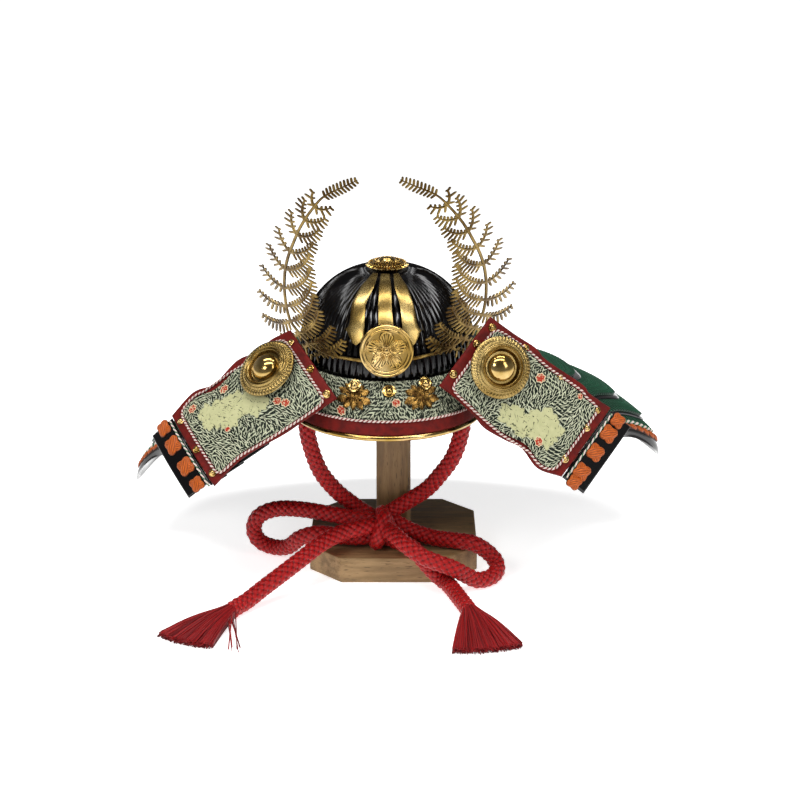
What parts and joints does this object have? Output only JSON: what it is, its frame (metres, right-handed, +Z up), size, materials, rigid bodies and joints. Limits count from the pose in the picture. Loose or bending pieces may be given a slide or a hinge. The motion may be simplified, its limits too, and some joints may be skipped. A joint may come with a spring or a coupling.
{
  "type": "kabuto samurai helmet on a wooden stand",
  "caption": "Display samurai helmet with ribbed bowl, fern crest, turned-back wings, laced neck guard and tasselled cord, on a wooden stand.",
  "frame": {"origin": "centre of the base board's underside", "axes": "+X to the viewer's right, +Y away from the viewer, +Z up"},
  "size_m": [0.3309, 0.2695, 0.2515],
  "materials": {
    "wood": "plain satin wood",
    "black_lacquer": "gloss black lacquer",
    "gold_plate": "satin gold plating",
    "aged_gold": "darkened gold plating",
    "printed_leather": "printed leaf pattern on dark leather",
    "red_leather": "smooth dark red",
    "piping": "twisted red and white cord",
    "lacing": "green braid laced over black plates",
    "orange_braid": "flat orange braid",
    "red_cord": "round braided silk cord"
  },
  "bodies": {
    "root": {"boss_dome_left": "gold_plate", "boss_dome_right": "gold_plate", "boss_left": "gold_plate", "boss_right": "gold_plate", "cord_knot": "red_cord", "cord_loop_left": "red_cord", "cord_loop_right": "red_cord", "cord_strand_left": "red_cord", "cord_strand_right": "red_cord", "cord_tail_left": "red_cord", "cord_tail_right": "red_cord", "crest_holder": "aged_gold", "crest_medallion": "gold_plate", "crest_rivet_centre": "gold_plate", "crest_rivet_left": "gold_plate", "crest_rivet_right": "gold_plate", "cross_knot_left_1": "orange_braid", "cross_knot_left_2": "orange_braid", "cross_knot_left_3": "orange_braid", "cross_knot_left_4": "orange_braid", "cross_knot_right_1": "orange_braid", "cross_knot_right_2": "orange_braid", "cross_knot_right_3": "orange_braid", "cross_knot_right_4": "orange_braid", "cross_knot_right_5": "orange_braid", "crown_dome": "gold_plate", "crown_plate": "gold_plate", "end_plate_left": "black_lacquer", "end_plate_right": "black_lacquer", "fern_left": "gold_plate", "fern_right": "gold_plate", "helmet_bowl": "black_lacquer", "lame_1": "lacing", "lame_2": "lacing", "lame_3": "lacing", "lame_4": "lacing", "lame_5": "lacing", "mount_flower_left": "aged_gold", "mount_flower_right": "aged_gold", "stand_base": "wood", "stand_head_rest": "wood", "stand_post": "wood", "strap_centre": "gold_plate", "strap_left": "gold_plate", "strap_right": "gold_plate", "tassel_left": "red_cord", "tassel_right": "red_cord", "visor": "printed_leather", "visor_piping": "piping", "visor_rim": "gold_plate", "wing_face_left": "printed_leather", "wing_face_right": "printed_leather", "wing_left": "red_leather", "wing_piping_left": "piping", "wing_piping_right": "piping", "wing_right": "red_leather"}
  },
  "joints": []
}
